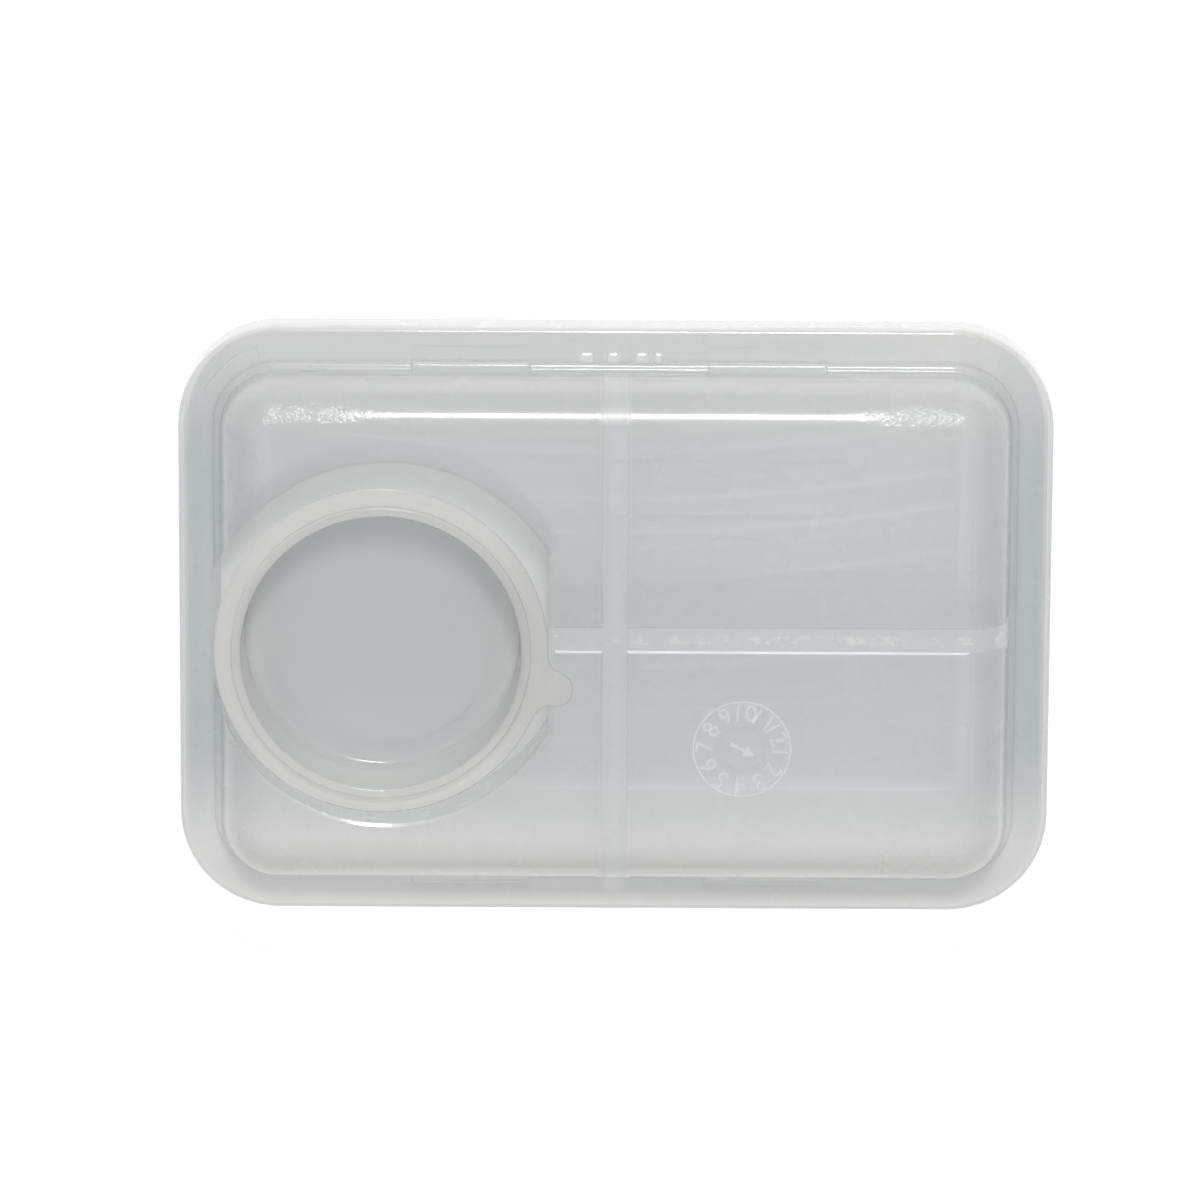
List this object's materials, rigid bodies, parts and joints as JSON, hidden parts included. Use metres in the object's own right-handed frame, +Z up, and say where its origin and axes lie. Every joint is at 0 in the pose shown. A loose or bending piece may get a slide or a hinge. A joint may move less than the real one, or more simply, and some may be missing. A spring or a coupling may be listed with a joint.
{
  "type": "compartment lunch box with sauce cup",
  "caption": "Translucent rectangular lunch box with crossed dividers, a domed lid and an open sauce cup in a round lid pocket.",
  "frame": {"origin": "middle of the box's footprint, on the surface that the base stands on", "axes": "+X along the long side, away from the sauce cup's pocket; +Y along the short side; +Z up"},
  "size_m": [0.18, 0.1236, 0.0576],
  "materials": {
    "base_plastic": "translucent natural polypropylene, satin",
    "lid_plastic": "translucent natural polypropylene, semi-gloss with a slight orange-peel texture",
    "cup_plastic": "translucent milky polypropylene, slightly warmer than the box"
  },
  "bodies": {
    "base": {"base_container": "base_plastic"},
    "lid": {"lid": "lid_plastic"},
    "cup": {"sauce_cup": "cup_plastic"}
  },
  "joints": [
    {"name": "lid_lift", "type": "slide", "parent": "base", "child": "lid", "axis": [0, 0, 1], "range_m": [0, 0.08]},
    {"name": "cup_lift", "type": "slide", "parent": "lid", "child": "cup", "axis": [0, 0, 1], "range_m": [0, 0.04]}
  ]
}
